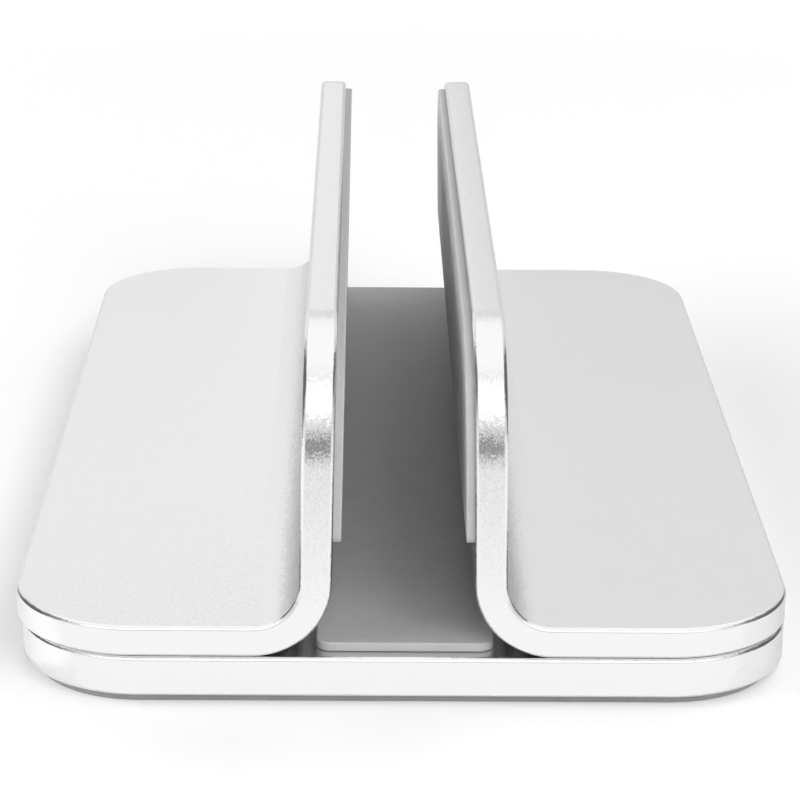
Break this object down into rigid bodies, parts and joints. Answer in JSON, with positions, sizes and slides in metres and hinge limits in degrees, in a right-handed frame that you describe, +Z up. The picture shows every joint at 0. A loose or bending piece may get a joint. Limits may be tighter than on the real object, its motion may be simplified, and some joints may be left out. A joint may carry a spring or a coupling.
{
  "type": "vertical laptop stand",
  "caption": "Adjustable stand that holds a closed laptop upright between two bent aluminium brackets, which slide on a flat base plate and are lined with silicone pads.",
  "frame": {"origin": "on the table, under the middle of the base plate", "axes": "+X across the slot to the right bracket, +Y from the front edge to the back edge along the slot, +Z up"},
  "size_m": [0.121, 0.2, 0.0577],
  "materials": {
    "anodised_aluminium": "edges broken, bead-blasted and clear anodised",
    "silicone": "matt grey silicone sheet",
    "screw_steel": "plain stainless, turned",
    "washer_steel": "zinc-plated, stamped"
  },
  "bodies": {
    "base": {"base_plate": "anodised_aluminium", "sole_pad": "silicone", "floor_pad": "silicone"},
    "left_slider": {"left_bracket": "anodised_aluminium", "left_side_pad": "silicone", "left_front_clamp_screw": "screw_steel", "left_front_washer": "washer_steel", "left_rear_clamp_screw": "screw_steel", "left_rear_washer": "washer_steel"},
    "right_slider": {"right_bracket": "anodised_aluminium", "right_side_pad": "silicone", "right_front_clamp_screw": "screw_steel", "right_front_washer": "washer_steel", "right_rear_clamp_screw": "screw_steel", "right_rear_washer": "washer_steel"}
  },
  "joints": [
    {"name": "left_slide", "type": "slide", "parent": "base", "child": "left_slider", "axis": [-1, 0, 0], "range_m": [-0.00325, 0.00675]},
    {"name": "right_slide", "type": "slide", "parent": "base", "child": "right_slider", "axis": [1, 0, 0], "range_m": [-0.0025, 0.0075]}
  ]
}
